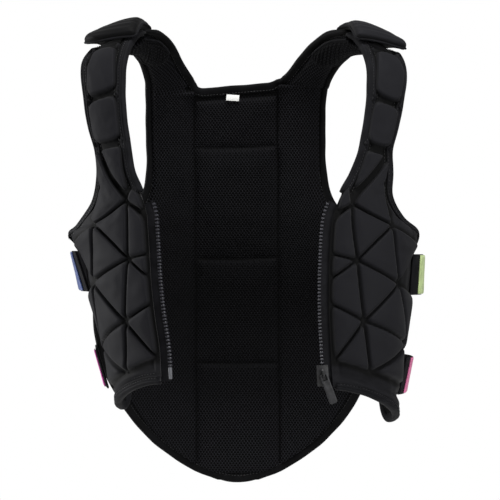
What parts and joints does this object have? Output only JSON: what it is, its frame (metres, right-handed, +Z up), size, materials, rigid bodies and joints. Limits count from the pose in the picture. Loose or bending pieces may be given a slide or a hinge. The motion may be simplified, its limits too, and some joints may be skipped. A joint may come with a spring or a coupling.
{
  "type": "equestrian body protector",
  "caption": "Padded riding vest with an open zipped front, sewn foam blocks, a long padded mesh-lined back, shoulder flaps and elastic side straps, hanging by its shoulders.",
  "frame": {"origin": "midway between the undersides of the two shoulder crests, on the line that the vest hangs from", "axes": "+Z up, +X to the right as seen from the front, the open zipped front faces -Y and the back panel +Y"},
  "size_m": [0.4256, 0.2552, 0.5653],
  "materials": {
    "panel_cloth": "matt closely woven cloth over foam",
    "edge_binding": "folded woven binding",
    "zip_tape": "woven zip tape",
    "zip_teeth": "moulded teeth",
    "zip_pin": "light grey moulded pin",
    "zip_slider": "black painted die casting",
    "zip_pull": "dark grey painted metal",
    "back_cloth": "open spacer mesh inside, matt cloth outside",
    "side_strap": "woven elastic with a hook-and-loop front end",
    "strap_tab_upper_left": "bright woven cloth",
    "strap_tab_lower_left": "bright woven cloth",
    "strap_tab_upper_right": "bright woven cloth",
    "strap_tab_lower_right": "bright woven cloth",
    "neck_label": "white woven tape, blank"
  },
  "bodies": {
    "vest": {"front_panel_left": "panel_cloth", "front_binding_left": "edge_binding", "zip_tape_left": "zip_tape", "zip_teeth_left": "zip_teeth", "front_panel_right": "panel_cloth", "front_binding_right": "edge_binding", "zip_tape_right": "zip_tape", "zip_teeth_right": "zip_teeth", "zip_pin_left": "zip_pin", "zip_slider": "zip_slider", "back_panel": "back_cloth", "back_binding": "edge_binding", "shoulder_flap_left": "panel_cloth", "shoulder_flap_right": "panel_cloth", "side_strap_upper_left": "side_strap", "strap_tab_upper_left": "strap_tab_upper_left", "side_strap_lower_left": "side_strap", "strap_tab_lower_left": "strap_tab_lower_left", "side_strap_upper_right": "side_strap", "strap_tab_upper_right": "strap_tab_upper_right", "side_strap_lower_right": "side_strap", "strap_tab_lower_right": "strap_tab_lower_right", "neck_label": "neck_label"},
    "zip_pull": {"zip_pull": "zip_pull"}
  },
  "joints": [
    {"name": "zip_pull_swing", "type": "hinge", "parent": "vest", "child": "zip_pull", "pos_m": [0.08841, -0.12137, -0.39892], "axis": [-0.9287, -0.1086, -0.3546], "range_deg": [0, 165]}
  ]
}
